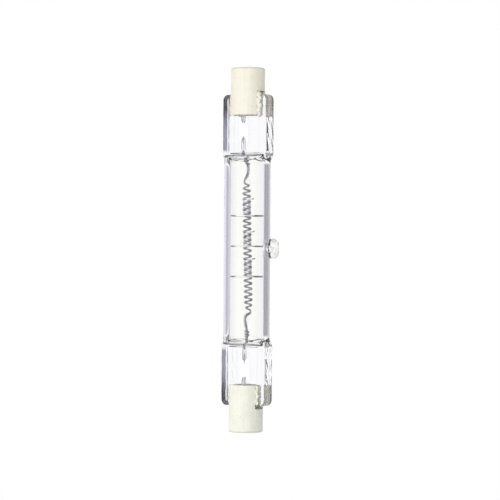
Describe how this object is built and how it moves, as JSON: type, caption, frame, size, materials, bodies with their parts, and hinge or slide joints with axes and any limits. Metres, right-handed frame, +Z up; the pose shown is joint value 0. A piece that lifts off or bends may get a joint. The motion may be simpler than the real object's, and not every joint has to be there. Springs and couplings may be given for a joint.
{
  "type": "double-ended halogen lamp",
  "caption": "Slim linear halogen lamp: clear quartz tube with flat press seals, coiled filament on wire supports, and a recessed-contact ceramic cap at each end.",
  "frame": {"origin": "middle of the quartz tube on its axis, half way between the two end contacts", "axes": "+Y along the lamp to end a, +X across the flat press seals on the exhaust tip's side, +Z up, square to the flat presses; the tube's underside and the exhaust tip rest at the lowest Z"},
  "size_m": [0.0121, 0.078, 0.01],
  "materials": {
    "quartz": "clear fused quartz, fire-polished",
    "tungsten": "drawn tungsten wire, wound as a coiled coil",
    "support_wire": "drawn tungsten wire",
    "lead_wire": "drawn molybdenum wire",
    "foil": "rolled molybdenum foil, bright",
    "ceramic": "unglazed steatite, cream, satin",
    "contact_metal": "nickel-plated",
    "cement": "white capping cement, matt"
  },
  "bodies": {
    "root": {"quartz_envelope": "quartz", "filament": "tungsten", "filament_support_1": "support_wire", "filament_support_2": "support_wire", "filament_support_3": "support_wire", "inner_lead_a": "lead_wire", "inner_lead_b": "lead_wire", "sealing_foil_a": "foil", "sealing_foil_b": "foil", "outer_lead_a": "lead_wire", "outer_lead_b": "lead_wire", "ceramic_cap_a": "ceramic", "ceramic_cap_b": "ceramic", "contact_a": "contact_metal", "contact_b": "contact_metal", "cap_cement_a": "cement", "cap_cement_b": "cement"}
  },
  "joints": []
}
